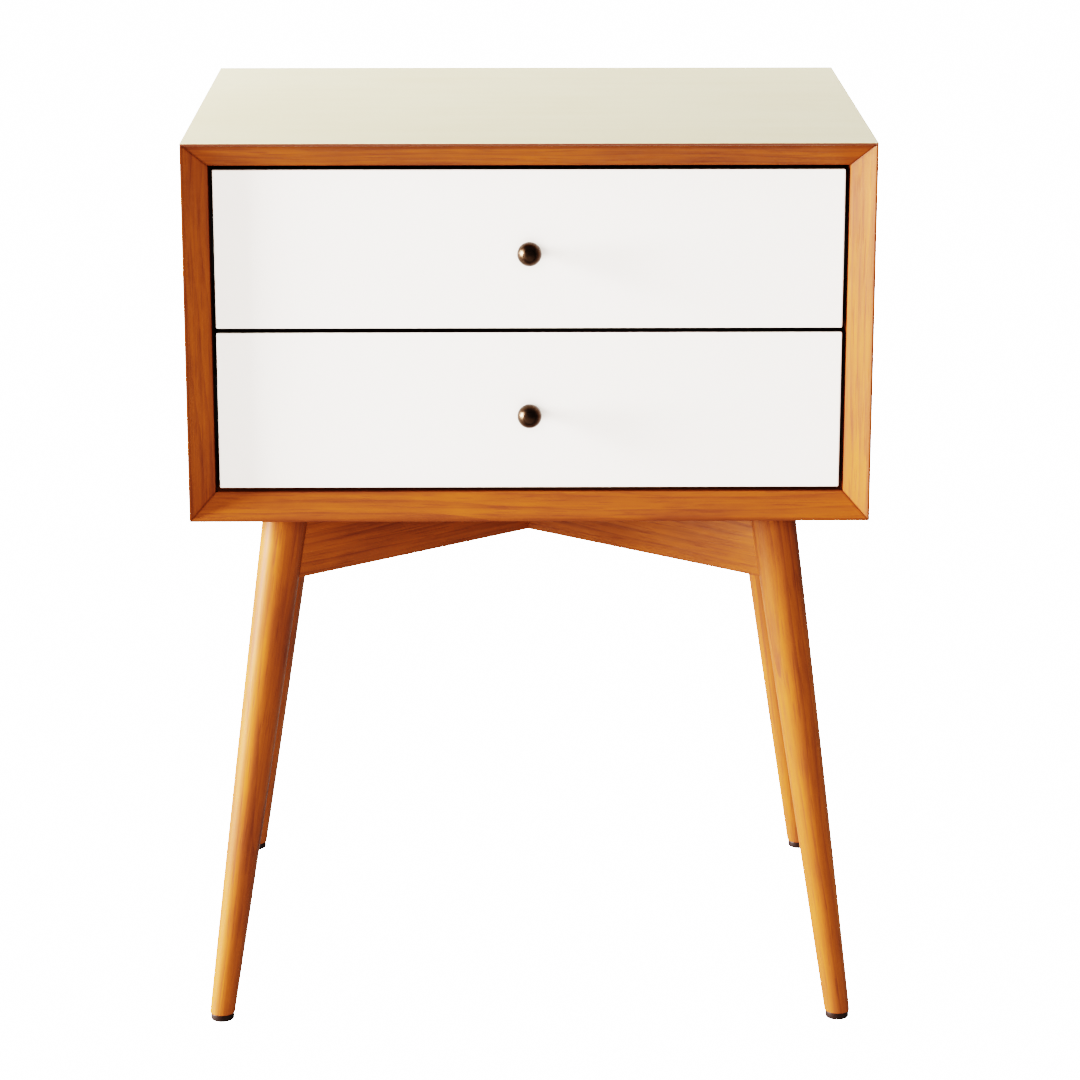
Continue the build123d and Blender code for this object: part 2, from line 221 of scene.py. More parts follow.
wood_reads = {"Vector": "grain", "Edge": "edge", "Arris": "arris"}
grain_group = wood_grain()
new_finish(
    "stained_wood", grain_group,
    {"Light": (0.325, 0.096, 0.017, 1), "Dark": (0.102, 0.031, 0.018, 1), "Ring spacing": 0.007,
     "Ring contrast": 0.22, "Streak contrast": 0.6, "Blotch contrast": 0.8, "Pores": 0.35,
     "Gloss roughness": 0.42},
    0.25, 0.0004, wood_reads, Specular_IOR_Level=0.1)


def settle(piece):
    """Applies the modifiers of a piece to its mesh."""
    graph = bpy.context.evaluated_depsgraph_get()
    mesh = bpy.data.meshes.new_from_object(piece.evaluated_get(graph), preserve_all_data_layers=True,
                                           depsgraph=graph)
    piece.modifiers.clear()
    piece.data = mesh
    return piece


def new_piece(name, mesh):
    """An object at the origin with that mesh."""
    piece = bpy.data.objects.new(name, mesh)
    bpy.context.scene.collection.objects.link(piece)
    return piece


def ease(piece, width, segments=3, limit=35):
    """Rounds every edge of a piece that is sharper than the limit, in degrees."""
    piece.data.shade_smooth()
    bevel = piece.modifiers.new("Eased edges", "BEVEL")
    bevel.width = width
    bevel.segments = segments
    bevel.limit_method = "ANGLE"
    bevel.angle_limit = math.radians(limit)
    bevel.harden_normals = True
    return settle(piece)


def fit(piece, body, finish, *nodes):
    """Puts a piece in its finish and on its body, in the place of its CAD nodes."""
    if not piece.data.materials:
        piece.data.materials.append(finishes[finish])
    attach(piece, body)
    if nodes:
        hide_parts(*nodes)
    return piece


def grown(group, name, mesh=None, **values):
    """A piece grown by a geometry node tree with those inputs, as a plain mesh."""
    piece = new_piece(name, mesh or bpy.data.meshes.new(name))
    modifier = piece.modifiers.new(group.name, "NODES")
    modifier.node_group = group
    for item in group.interface.items_tree:
        key = item.name.replace(" ", "_").lower()
        if item.item_type == "SOCKET" and item.in_out == "INPUT" and key in values:
            modifier[item.identifier] = values[key]
    return settle(piece)


def finish_tree(tree, out, geometry, material):
    """Ends a geometry node tree: its instances made real and its material set."""
    whole = add(tree, "GeometryNodeRealizeInstances", {0: geometry}).outputs[0]
    whole = add(tree, "GeometryNodeSetMaterial", {"Geometry": whole, "Material": material})
    tree.links.new(whole.outputs[0], out[0])
    return tree


def leg_tree():
    """A leaning, tapered round: one ring after another, each moved out as the leg leans."""
    tree, given, out = new_group(
        "Tapered leg", "GeometryNodeTree",
        {"Foot radius": 0.0086, "Top radius": 0.0154, "Swell": 0.0004, "Foot level": 0.005,
         "Top level": 0.362, "Spread": 0.27, "Lean": 0.176, "Turn": 0.0, "Middle": (0, 0, 0),
         "Seed": (0, 0, 0), "Material": "Material"},
        {"Geometry": "Geometry"})
    bar = add(tree, "GeometryNodeMeshCylinder",
              {"Vertices": 64, "Side Segments": 24, "Radius": 1.0, "Depth": 1.0}).outputs["Mesh"]
    here = add(tree, "GeometryNodeInputPosition").outputs[0]
    here = add(tree, "ShaderNodeSeparateXYZ", {0: here}).outputs
    rise = sums(tree, "MULTIPLY", sums(tree, "ADD", here[2], 0.5),
                sums(tree, "SUBTRACT", given["Top level"], given["Foot level"]))
    level = sums(tree, "ADD", given["Foot level"], rise)
    share = sums(tree, "DIVIDE", level, given["Top level"])
    widening = sums(tree, "SUBTRACT", given["Top radius"], given["Foot radius"])
    taper = sums(tree, "MULTIPLY", share, widening)
    bulge = sums(tree, "MULTIPLY", share, sums(tree, "SUBTRACT", 1.0, share),
                 sums(tree, "MULTIPLY", given["Swell"], 4.0))
    radius = sums(tree, "ADD", given["Foot radius"], taper, bulge)
    x = sums(tree, "MULTIPLY", here[0], radius)
    y = sums(tree, "MULTIPLY", here[1], radius)
    # A level cut through a leaning round is longer along the lean
    lean = given["Lean"]
    longer = sums(tree, "SQRT", sums(tree, "ADD", 1.0, sums(tree, "MULTIPLY", lean, lean)))
    axis = sums(tree, "SUBTRACT", given["Spread"], sums(tree, "MULTIPLY", level, lean))
    moved = sums(tree, "ADD", sums(tree, "MULTIPLY", x, longer), axis)
    place = joined(tree, moved, y, level)
    grain = vector_sum(tree, "ADD", joined(tree, level, x, y), given["Seed"])
    kept = add(tree, "GeometryNodeStoreNamedAttribute",
               {"Geometry": bar, "Name": "grain", "Value": grain}, data_type="FLOAT_VECTOR").outputs[0]
    leg = add(tree, "GeometryNodeSetPosition", {"Geometry": kept, "Position": place}).outputs[0]
    leg = add(tree, "GeometryNodeTransform", {"Geometry": leg, "Translation": given["Middle"],
                                              "Rotation": joined(tree, z=given["Turn"])}).outputs[0]
    return finish_tree(tree, out, leg, given["Material"])


leg_top_radius = 0.0154
leg_foot_radius = 0.0086
leg_swell = 0.0004
leg_lean = math.tan(math.radians(10))
leg_arris = 0.0008
case_low, case_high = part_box("top_sheet")
case_middle = (case_low + case_high) / 2
leg_names = ("front_left", "front_right", "rear_left", "rear_right")
legs = leg_tree()
feet = {}
for count, name in enumerate(leg_names):
    glide_low, glide_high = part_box(name + "_glide")
    feet[name] = (glide_low + glide_high) / 2 - case_middle
    leg_low, leg_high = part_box(name + "_leg")
    reach = math.hypot(feet[name].x, feet[name].y)
    leg = grown(legs, name + "_leg_turned", foot_radius=leg_foot_radius,
                top_radius=leg_top_radius, swell=leg_swell, foot_level=leg_low.z,
                top_level=leg_high.z, spread=reach + leg_low.z * leg_lean, lean=leg_lean,
                turn=math.atan2(feet[name].y, feet[name].x), middle=(case_middle.x, case_middle.y, 0),
                seed=(0.7 * count, 0.013 * count, 0.002 * count), material=finishes["stained_wood"])
    ease(leg, leg_arris)
    fit(leg, "case", "stained_wood", name + "_leg")


# --- Glides -----------------------------------------------------------------------
# A dark brown moulded plastic button under each leg, held by a nail into the end grain.
# Its rim is rounded and its underside slightly dished.

def rounded(outline, steps=6):
    """An outline of (x, y, radius) corners with an arc in the place of each rounded corner."""
    made = []
    count = len(outline)
    for index, (x, y, radius) in enumerate(outline):
        corner = Vector((x, y))
        if not radius:
            made.append(corner)
            continue
        before = (Vector(outline[index - 1][:2]) - corner).normalized()
        after = (Vector(outline[(index + 1) % count][:2]) - corner).normalized()
        half = before.angle(after) / 2
        centre = corner + (before + after).normalized() * radius / math.sin(half)
        start = corner + before * radius / math.tan(half) - centre
        end = corner + after * radius / math.tan(half) - centre
        sweep = start.angle_signed(end)
        for step in range(steps + 1):
            angle = -sweep * step / steps
            made.append(centre + Matrix.Rotation(angle, 2) @ start)
    return made


def from_shape(name, shape, smooth=True):
    """An object at the origin with the mesh of a shape, which is freed."""
    mesh = bpy.data.meshes.new(name)
    shape.to_mesh(mesh)
    shape.free()
    if smooth:
        mesh.shade_smooth()
    return new_piece(name, mesh)


def turned(name, outline, foot, axis, segments=48):
    """A turned shape: (radius, height) points spun about an axis that starts at its foot."""
    axis = Vector(axis).normalized()
    side = axis.orthogonal().normalized()
    other = axis.cross(side)
    shape = bmesh.new()
    rings = []
    for radius, height in outline:
        base = Vector(foot) + axis * height
        if radius < 1e-7:
            rings.append([shape.verts.new(base)])
            continue
        ring = []
        for step in range(segments):
            angle = 2 * math.pi * step / segments
            way = side * math.cos(angle) + other * math.sin(angle)
            ring.append(shape.verts.new(base + way * radius))
        rings.append(ring)
    for below, above in zip(rings, rings[1:]):
        for step in range(segments):
            ahead = (step + 1) % segments
            corners = []
            for ring, index in ((below, step), (below, ahead), (above, ahead), (above, step)):
                vertex = ring[index % len(ring)]
                if vertex not in corners:
                    corners.append(vertex)
            if len(corners) > 2:
                shape.faces.new(corners)
    bmesh.ops.recalc_face_normals(shape, faces=shape.faces)
    return from_shape(name, shape)


def moulded_surface():
    """A moulded or sprayed surface: a fine texture in its gloss, tone and relief."""
    tree, given, out = new_surface("Moulded surface", {
        "Base": (0.1, 0.1, 0.1, 1), "Worn": (0.2, 0.2, 0.2, 1), "Texture size": 0.0006,
        "Tone play": 0.3, "Gloss roughness": 0.5})
    fine = noise(tree, given["Vector"], sums(tree, "DIVIDE", 1.0, given["Texture size"]), 2.0)
    broad = noise(tree, given["Vector"], 90.0, 3.0)
    tone = sums(tree, "MULTIPLY", remap(tree, broad, 0.3, 0.7), given["Tone play"])
    rough = sums(tree, "ADD", given["Gloss roughness"], spread(tree, broad, 0.5, 0.2),
                 spread(tree, fine, 0.5, 0.15))
    return give_out(tree, out, Color=blend(tree, tone, given["Base"], given["Worn"]), Roughness=rough,
                    Height=fine)


moulded_group = moulded_surface()
new_finish(
    "brown_plastic", moulded_group,
    {"Base": (0.014, 0.006, 0.004, 1), "Worn": (0.032, 0.014, 0.009, 1), "Texture size": 0.0005,
     "Gloss roughness": 0.45},
    0.3, 0.0001, Specular_IOR_Level=0.3)
glide_radius = 0.0082
glide_rim = 0.0014
glide_dish = 0.0004
glide_shoulder = 0.0003
for name in leg_names:
    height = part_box(name + "_leg")[0].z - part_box(name + "_glide")[0].z
    foot = Vector((case_middle.x, case_middle.y, 0)) + Vector((feet[name].x, feet[name].y, 0))
    outline = rounded([(0, glide_dish, 0), (glide_radius * 0.62, glide_dish * 0.75, 0),
                       (glide_radius * 0.72, 0, 0), (glide_radius, 0, glide_rim),
                       (glide_radius, height, glide_shoulder), (0, height, 0)])
    glide = turned(name + "_glide_button", outline, foot, (0, 0, 1))
    fit(glide, "case", "brown_plastic", name + "_glide")


# --- Crossed rails ----------------------------------------------------------------
# Two straight rails of the same wood, on edge, halved over each other in the middle. Their
# ends are shaped to the legs and dowelled to them, and their edges are rounded over.

def lay_grain(piece, along, through, seed=(0, 0, 0)):
    """Stores each point's place in the board it was cut from: along, across and through it.

    It also marks the faces of the board's edges, and its eased arrises.
    """
    along = Vector(along).normalized()
    through = Vector(through).normalized()
    across = through.cross(along)
    mesh = piece.data
    grain = mesh.attributes.new("grain", "FLOAT_VECTOR", "POINT")
    for vertex in mesh.vertices:
        place = (vertex.co.dot(along), vertex.co.dot(across), vertex.co.dot(through))
        grain.data[vertex.index].vector = Vector(place) + Vector(seed)
    edge = mesh.attributes.new("edge", "FLOAT", "FACE")
    arris = mesh.attributes.new("arris", "FLOAT", "FACE")
    for face in mesh.polygons:
        square = max(abs(face.normal.dot(way)) for way in (along, across, through))
        edge.data[face.index].value = 0.0 if abs(face.normal.dot(through)) > 0.6 else 1.0
        arris.data[face.index].value = 1.0 if square < 0.98 else 0.0
    return piece


def copy_of(node, name):
    """A merged copy of a CAD node's mesh, with its flat faces whole again."""
    shape = bmesh.new()
    shape.from_mesh(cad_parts[node].data)
    bmesh.ops.remove_doubles(shape, verts=shape.verts, dist=1e-6)
    bmesh.ops.dissolve_limit(shape, angle_limit=math.radians(0.5), verts=shape.verts, edges=shape.edges)
    return from_shape(name, shape, False)


def board(node, arris, along, through, seed, finish, body, segments=3):
    """A CAD board with eased edges and its grain laid."""
    piece = copy_of(node, node + "_eased")
    ease(piece, arris, segments)
    lay_grain(piece, along, through, seed)
    return fit(piece, body, finish, node)


rail_arris = 0.0012
diagonal = Vector((abs(feet["front_right"].x), abs(feet["front_right"].y), 0))
for count, (node, side) in enumerate((("cross_rail_upper", 1), ("cross_rail_lower", -1))):
    board(node, rail_arris, (diagonal.x, side * diagonal.y, 0), (-side * diagonal.y, diagonal.x, 0),
          (3.1 * count, 0.02, 0.01 * count), "stained_wood", "case")


# --- Dowels, inserts and splines --------------------------------------------------
# What joins the base and the case's mitres: unfinished beech dowels and splines, and
# threaded steel inserts in the rails. They are hidden once it is glued up.

new_finish(
    "raw_beech", grain_group,
    {"Light": (0.74, 0.53, 0.34, 1), "Dark": (0.5, 0.31, 0.17, 1), "Ring contrast": 0.15,
     "Streak contrast": 0.5, "Blotch contrast": 0.3, "Pores": 0.8, "Gloss roughness": 0.68},
    0.3, 0.0002)


def plated_metal():
    """Plated or brushed metal: its tone, gloss and fine brushing along X."""
    tree, given, out = new_surface("Plated metal", {
        "Rub": 0.0, "Base": (0.6, 0.61, 0.63, 1), "Tarnish": (0.4, 0.4, 0.38, 1),
        "Rubbed": (0.7, 0.7, 0.7, 1), "Patch size": 0.01, "Brushing": (1, 1, 1),
        "Brushing contrast": 0.2, "Gloss roughness": 0.3})
    patch = noise(tree, given["Vector"], sums(tree, "DIVIDE", 1.0, given["Patch size"]), 4.0)
    brushed = noise(tree, vector_sum(tree, "MULTIPLY", given["Vector"], given["Brushing"]), 2200.0, 2.0)
    tone = blend(tree, remap(tree, patch, 0.35, 0.7), given["Base"], given["Tarnish"])
    shine = sums(tree, "MULTIPLY", given["Rub"], remap(tree, patch, 0.2, 0.62, 0.35, 1.0))
    rough = sums(tree, "ADD", given["Gloss roughness"], spread(tree, patch, 0.45, 0.3),
                 spread(tree, brushed, 0.5, given["Brushing contrast"]))
    return give_out(tree, out, Color=blend(tree, shine, tone, given["Rubbed"]), Roughness=rough,
                    Height=brushed)


metal_group = plated_metal()
new_finish(
    "zinc_steel", metal_group,
    {"Base": (0.6, 0.62, 0.64, 1), "Tarnish": (0.5, 0.5, 0.47, 1), "Patch size": 0.012,
     "Brushing": (1, 0.04, 1), "Brushing contrast": 0.25, "Gloss roughness": 0.3},
    0.15, 0.00005, Metallic=1.0)
for node, finish in (("leg_dowels", "raw_beech"), ("mitre_splines", "raw_beech"),
                     ("threaded_inserts", "zinc_steel")):
    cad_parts[node].data.materials.clear()
    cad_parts[node].data.materials.append(finishes[finish])


# --- Case boards ------------------------------------------------------------------
# Four veneered boards, mitred and splined round the corners. The grain runs round the case:
# along the top and the bottom, and up the sides.

new_finish(
    "stained_veneer", grain_group,
    {"Light": (0.31, 0.09, 0.019, 1), "Dark": (0.1, 0.03, 0.016, 1), "Ring spacing": 0.009,
     "Ring contrast": 0.28, "Streak contrast": 0.7, "Blotch contrast": 0.7, "Pores": 0.4,
     "Gloss roughness": 0.36},
    0.2, 0.0003, wood_reads, Specular_IOR_Level=0.15)
veneer_arris = 0.0004
across_x, across_y, up = (1, 0, 0), (0, 1, 0), (0, 0, 1)
for node, along, through, seed in (("top_panel", across_x, up, (0.3, 0.05, 0.03)),
                                   ("bottom_panel", across_x, up, (1.3, 0.02, 0.43)),
                                   ("left_side_panel", up, across_x, (2.3, 0.07, 0.31)),
                                   ("right_side_panel", up, across_x, (3.3, 0.03, -0.11))):
    board(node, veneer_arris, along, through, seed, "stained_veneer", "case")


# --- Back panel -------------------------------------------------------------------
# Thin brown hardboard set into a rabbet, pressed smooth, with loose fibres showing in it.

def pressed_fibres():
    """Hardboard: pressed brown fibres at two sizes, with darker and paler flecks."""
    tree, given, out = new_surface("Pressed fibres", {
        "Pale": (0.4, 0.2, 0.09, 1), "Dark": (0.2, 0.085, 0.035, 1), "Fleck": (0.56, 0.36, 0.2, 1),
        "Fibre size": 0.002, "Gloss roughness": 0.5})
    scale = sums(tree, "DIVIDE", 1.0, given["Fibre size"])
    level = noise(tree, given["Vector"], scale, 4.0, (0.3, 1, 1))
    upright = noise(tree, given["Vector"], scale, 4.0, (1, 1, 0.3))
    cloud = noise(tree, given["Vector"], 18.0, 4.0)
    matted = sums(tree, "MULTIPLY", sums(tree, "ADD", level, upright), 0.5)
    tone = sums(tree, "ADD", remap(tree, matted, 0.3, 0.7), spread(tree, cloud, 0.5, 1.2))
    flecks = remap(tree, sums(tree, "MAXIMUM", level, upright), 0.66, 0.74)
    body = blend(tree, held(tree, tone), given["Dark"], given["Pale"])
    rough = sums(tree, "ADD", given["Gloss roughness"], spread(tree, matted, 0.5, 0.35))
    return give_out(tree, out, Color=blend(tree, flecks, body, given["Fleck"]), Roughness=rough,
                    Height=matted)


new_finish("hardboard", pressed_fibres(), {}, 0.3, 0.0002)
panel_arris = 0.0005
back_panel = ease(copy_of("back_panel", "back_panel_pressed"), panel_arris, 2)
# The panel is flat, and smoothed normals would shade it round its screw holes
back_panel.data.attributes.remove(back_panel.data.attributes["custom_normal"])
back_panel.data.shade_flat()
fit(back_panel, "case", "hardboard", "back_panel")


# --- Screws -----------------------------------------------------------------------
# Zinc-plated pan-head wood screws with a cross recess hold the back, the slides and the
# drawer fronts. Four socket bolts in recesses in the case's bottom hold the base.

def islands(node):
    """The lowest and highest corners of each separate solid in a CAD node."""
    shape = bmesh.new()
    shape.from_mesh(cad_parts[node].data)
    bmesh.ops.remove_doubles(shape, verts=shape.verts, dist=1e-6)
    left = set(shape.verts)
    found = []
    while left:
        part = [left.pop()]
        for vertex in part:
            for link in vertex.link_edges:
                other = link.other_vert(vertex)
                if other in left:
                    left.remove(other)
                    part.append(other)
        low = Vector([min(vertex.co[i] for vertex in part) for i in range(3)])
        high = Vector([max(vertex.co[i] for vertex in part) for i in range(3)])
        found.append((low, high))
    shape.free()
    return sorted(found, key=lambda ends: tuple(round(value, 5) for value in ends[0]))


def cut_away(piece, tool):
    """Cuts one shape, which may cross itself, out of another and removes the tool."""
    cutter = piece.modifiers.new("Cut", "BOOLEAN")
    cutter.object = tool
    cutter.solver = "EXACT"
    cutter.use_self = True
    settle(piece)
    bpy.data.objects.remove(tool)
    return piece


def fixings_tree():
    """A fixing set on every point of a mesh, facing the way that the point does."""
    tree, given, out = new_group(
        "Fixings", "GeometryNodeTree",
        {"Geometry": "Geometry", "Pattern": "Object", "Seed": 7, "Material": "Material"},
        {"Geometry": "Geometry"})
    facing = add(tree, "GeometryNodeInputNamedAttribute", {"Name": "facing"}, data_type="FLOAT_VECTOR")
    aimed = add(tree, "FunctionNodeAlignRotationToVector", {"Vector": facing.outputs[0]}, axis="Z")
    play = add(tree, "FunctionNodeRandomValue", {"Min": 0.0, "Max": 2 * math.pi, "Seed": given["Seed"]})
    spin = add(tree, "FunctionNodeEulerToRotation", {0: joined(tree, z=play.outputs[1])})
    turned_on = add(tree, "FunctionNodeRotateRotation",
                    {"Rotation": aimed.outputs[0], "Rotate By": spin.outputs[0]},
                    rotation_space="LOCAL")
    pattern = add(tree, "GeometryNodeObjectInfo", {"Object": given["Pattern"]}).outputs["Geometry"]
    set_out = add(tree, "GeometryNodeInstanceOnPoints",
                  {"Points": given["Geometry"], "Instance": pattern, "Rotation": turned_on.outputs[0]})
    return finish_tree(tree, out, set_out.outputs[0], given["Material"])


fixings = fixings_tree()


def set_fixings(name, points, facing, pattern, finish, seed=7):
    """One mesh of fixings, with one at each point."""
    mesh = bpy.data.meshes.new(name)
    mesh.from_pydata([tuple(point) for point in points], [], [])
    ways = mesh.attributes.new("facing", "FLOAT_VECTOR", "POINT")
    for index in range(len(points)):
        ways.data[index].vector = facing[index] if isinstance(facing, list) else Vector(facing)
    return grown(fixings, name, mesh, pattern=pattern, seed=seed, material=finishes[finish])


screw_head_height = 0.0014
screw_head_radius = 0.0035
screw_shank = 0.00175
recess_width = 0.26  # of each wing of the cross recess, as a share of its length


def pan_screw(name, length):
    """A pan-head screw that stands on the origin, with a tapered cross recess in its head."""
    head, high, shank = screw_head_radius, screw_head_height, screw_shank
    outline = [(0, -length), (shank * 0.5, -length + shank * 2), (shank, -length + shank * 4),
               (shank, 0), (head, 0), (head, high * 0.45), (head * 0.86, high * 0.8),
               (head * 0.5, high), (0, high)]
    screw = turned(name, outline, (0, 0, 0), (0, 0, 1), 28)
    cross = bmesh.new()
    for turn in (0, 90):
        wings = bmesh.ops.create_cone(cross, segments=4, radius1=0.0001, radius2=head * 0.62,
                                      depth=high * 1.2, cap_ends=True)["verts"]
        square, spun = (Matrix.Rotation(math.radians(angle), 3, "Z") for angle in (45, turn))
        bmesh.ops.rotate(cross, verts=wings, cent=(0, 0, 0), matrix=square)
        bmesh.ops.scale(cross, verts=wings, vec=(1.0, recess_width, 1.0))
        bmesh.ops.rotate(cross, verts=wings, cent=(0, 0, 0), matrix=spun)
        bmesh.ops.translate(cross, verts=wings, vec=(0, 0, high * 0.62))
    return cut_away(screw, from_shape(name + "_cross", cross, False))


def seat(low, high, way, head_height=screw_head_height):
    """Where the underside of a screw's head sits, from the screw's corners and the way it faces."""
    centre = (low + high) / 2
    top = max(low.dot(way), high.dot(way))
    return centre + way * (top - head_height - centre.dot(way))


def fastened(name, node, way, pattern, body, seed, *head_height):
    """A CAD node's screws, all of them facing one way."""
    points = [seat(low, high, Vector(way), *head_height) for low, high in islands(node)]
    return fit(set_fixings(name, points, way, pattern, "zinc_steel", seed), body, "zinc_steel", node)


case_screw = pan_screw("case_screw_pattern", 0.0148)
fastened("back_panel_screw_set", "back_panel_screws", across_y, case_screw, "case", 3)

bolt_head_radius = 0.006
bolt_head_height = 0.0035
bolt_radius = 0.003
key_radius = 0.0023
key_floor = 0.0012
bolt_low, bolt_high = islands("base_bolts")[0]
bolt_length = bolt_high.z - bolt_low.z - bolt_head_height
socket_bolt = turned(
    "socket_bolt_pattern",
    rounded([(0, -bolt_length, 0), (bolt_radius, -bolt_length, 0.0006), (bolt_radius, 0, 0),
             (bolt_head_radius, 0, 0.0002), (bolt_head_radius, bolt_head_height, 0.0008),
             (0, bolt_head_height, 0)]), (0, 0, 0), (0, 0, 1), 40)
key = turned("socket_key", [(0, key_floor), (key_radius, key_floor), (key_radius, 0.005), (0, 0.005)],
             (0, 0, 0), (0, 0, 1), 6)
cut_away(socket_bolt, key)
fastened("base_bolt_set", "base_bolts", up, socket_bolt, "case", 5, bolt_head_height)


# --- Front frame ------------------------------------------------------------------
# Four solid strips, mitred round the case's front, with a wide bevel that falls inwards to
# the drawers. The arrises are eased, and the wood is darker along the outer arrises and at the mitres.

board_thickness = 0.017
bevel_depth = 0.0143
arris_flat = 0.0012
frame_arris = 0.0004
hidden_arris = 0.0002
bevel_toe = 0.0015
mitre_gap = 0.00008
mitre_steps = (0.0, 0.0003, 0.001, 0.0025, 0.012)
arris_dark_width = 0.0016
mitre_stain_width = 0.0012
bottom_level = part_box("bottom_panel")[0].z


def split_sharp(piece, limit=30):
    """Marks the sharp edges of a smooth piece, so that its flat faces stay flat."""
    shape = bmesh.new()
    shape.from_mesh(piece.data)
    for edge in shape.edges:
        if len(edge.link_faces) == 2 and edge.calc_face_angle() > math.radians(limit):
            edge.smooth = False
    shape.to_mesh(piece.data)
    shape.free()
    return piece


def skin(shape, rings):
    """Joins rings of points with faces, closes both ends and turns the faces outwards."""
    for below, above in zip(rings, rings[1:]):
        for index in range(len(below)):
            ahead = (index + 1) % len(below)
            shape.faces.new((below[index], below[ahead], above[ahead], above[index]))
    shape.faces.new(rings[0])
    shape.faces.new(rings[-1])
    bmesh.ops.recalc_face_normals(shape, faces=shape.faces)


def frame_strip(name, inward, start, end_levels, seed):
    """A bevelled strip with mitred ends: its face is at a distance of start from the case's side.

    The end levels are the least distances from the two ends at which the strip may stop.
    """
    inward = Vector(inward)
    along = inward.cross(Vector((0, 1, 0)))
    slope = bevel_depth / (board_thickness - arris_flat)
    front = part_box("top_sheet")[0].y
    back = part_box(name)[1].y - front
    case_centre = Vector((case_middle.x, 0, (bottom_level + case_high.z) / 2))
    sizes = (case_high.z - bottom_level, case_high.x - case_low.x)
    span, outer = sizes if inward.z == 0 else sizes[::-1]
    if start > arris_flat:
        corners = [(start, back, hidden_arris), (start, (start - arris_flat) * slope, frame_arris)]
    else:
        corners = [(0, back, hidden_arris), (0, 0, frame_arris), (arris_flat, 0, frame_arris)]
    corners += [(board_thickness, bevel_depth, bevel_toe), (board_thickness, back, hidden_arris)]
    section = rounded(corners, 5)
    # More points across the bevel, to carry the darker colour along its outer arris
    dense = []
    for index, point in enumerate(section):
        after = section[(index + 1) % len(section)]
        steps = 12 if (after - point).length > 0.008 and point.y < bevel_depth else 1
        dense += [point.lerp(after, step / steps) for step in range(steps)]
    centroid = sum(dense, Vector((0, 0))) / len(dense)
    shape = bmesh.new()
    grain = shape.verts.layers.float_vector.new("grain")
    arris = shape.verts.layers.float.new("arris")
    rings = []
    for side, step in [(0, step) for step in mitre_steps] + [(1, step) for step in mitre_steps[::-1]]:
        ring = []
        for point in dense:
            eased = point if step else point.lerp(centroid, 0.03)
            stop = max(eased.x, end_levels[side]) + mitre_gap + step
            place = (span / 2 - stop) * (1 if side else -1)
            base = case_centre + inward * (eased.x - outer / 2) + along * place
            vertex = shape.verts.new((base.x, front + eased.y, base.z))
            vertex[grain] = Vector((place, eased.x, eased.y)) + Vector(seed)
            past = (eased.x - max(start, 0)) / arris_dark_width
            joint = max(0.0, 1.0 - step / mitre_stain_width)
            vertex[arris] = max(1.0 if past < 0.8 else max(0.0, 1.8 - past), 0.9 * joint)
            ring.append(vertex)
        rings.append(ring)
    skin(shape, rings)
    piece = split_sharp(from_shape(name + "_moulded", shape))
    return fit(piece, "case", "stained_wood", name)


sheet_thickness = case_high.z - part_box("front_frame_top")[1].z
frame_strip("front_frame_top", (0, 0, -1), sheet_thickness, (sheet_thickness, sheet_thickness),
            (0.4, 0.05, 0.01))
frame_strip("front_frame_bottom", (0, 0, 1), 0, (0, 0), (1.9, 0.02, 0.03))
frame_strip("front_frame_left", (1, 0, 0), 0, (0, sheet_thickness), (2.7, 0.04, 0.06))
frame_strip("front_frame_right", (-1, 0, 0), 0, (sheet_thickness, 0), (3.6, 0.07, 0.02))


# --- Top sheet --------------------------------------------------------------------
# A thin sheet over the top of the case, sprayed cream and rubbed down to a satin: even in
# colour, with a faint orange peel and soft shifts in its gloss. Its edges are stained brown.

def sprayed_lacquer():
    """Sprayed lacquer: soft shifts of tone and gloss and a faint orange peel."""
    tree, given, out = new_surface("Sprayed lacquer", {
        "Edge": 0.0, "Base": (0.8, 0.8, 0.8, 1), "Shift": (0.7, 0.7, 0.7, 1), "Shift share": 0.5,
        # The near-black default edge colour is painted shade: on the drawer fronts' narrow sides it
        # darkens the gaps.
        "Edge stain": (0.034, 0.016, 0.008, 1), "Peel size": 0.0018, "Brush share": 0.0,
        "Gloss roughness": 0.4})
    cloud = noise(tree, given["Vector"], 7.0, 3.0)
    drawn = noise(tree, given["Vector"], 55.0, 3.0, (0.08, 1, 1))
    peel = noise(tree, given["Vector"], sums(tree, "DIVIDE", 1.0, given["Peel size"]), 1.0)
    brush = sums(tree, "MULTIPLY", spread(tree, drawn, 0.5, 1.6), given["Brush share"])
    shift = sums(tree, "MULTIPLY", remap(tree, cloud, 0.35, 0.65), given["Shift share"])
    shift = held(tree, sums(tree, "ADD", shift, brush))
    sprayed = blend(tree, shift, given["Base"], given["Shift"])
    rough = sums(tree, "ADD", given["Gloss roughness"], spread(tree, cloud, 0.5, 0.12),
                 spread(tree, drawn, 0.5, 0.08))
    # Edge faces take the edge colour: a brown stain on the top sheet, painted shade on the drawer
    # fronts.
    return give_out(tree, out, Color=blend(tree, given["Edge"], sprayed, given["Edge stain"]),
                    Roughness=rough, Height=peel)


lacquer_group = sprayed_lacquer()
new_finish(
    "cream_lacquer", lacquer_group,
    {"Base": (0.555, 0.495, 0.33, 1), "Shift": (0.50, 0.43, 0.275, 1), "Shift share": 0.5,
     "Edge stain": (0.12, 0.032, 0.012, 1), "Brush share": 0.5, "Gloss roughness": 0.42},
    0.12, 0.0001, {"Edge": "edge"}, Coat_Weight=0.2, Coat_Roughness=0.3)
sheet_edge = 0.00055


def stain_and_shade_edges(piece, is_edge):
    """Marks the faces of a piece that are edges, which take the edge colour: a brown stain on the top
    sheet, painted shade on the drawer fronts.
    """
    edge = piece.data.attributes.new("edge", "FLOAT", "FACE")
    for face in piece.data.polygons:
        edge.data[face.index].value = 1.0 if is_edge(face) else 0.0
    return piece


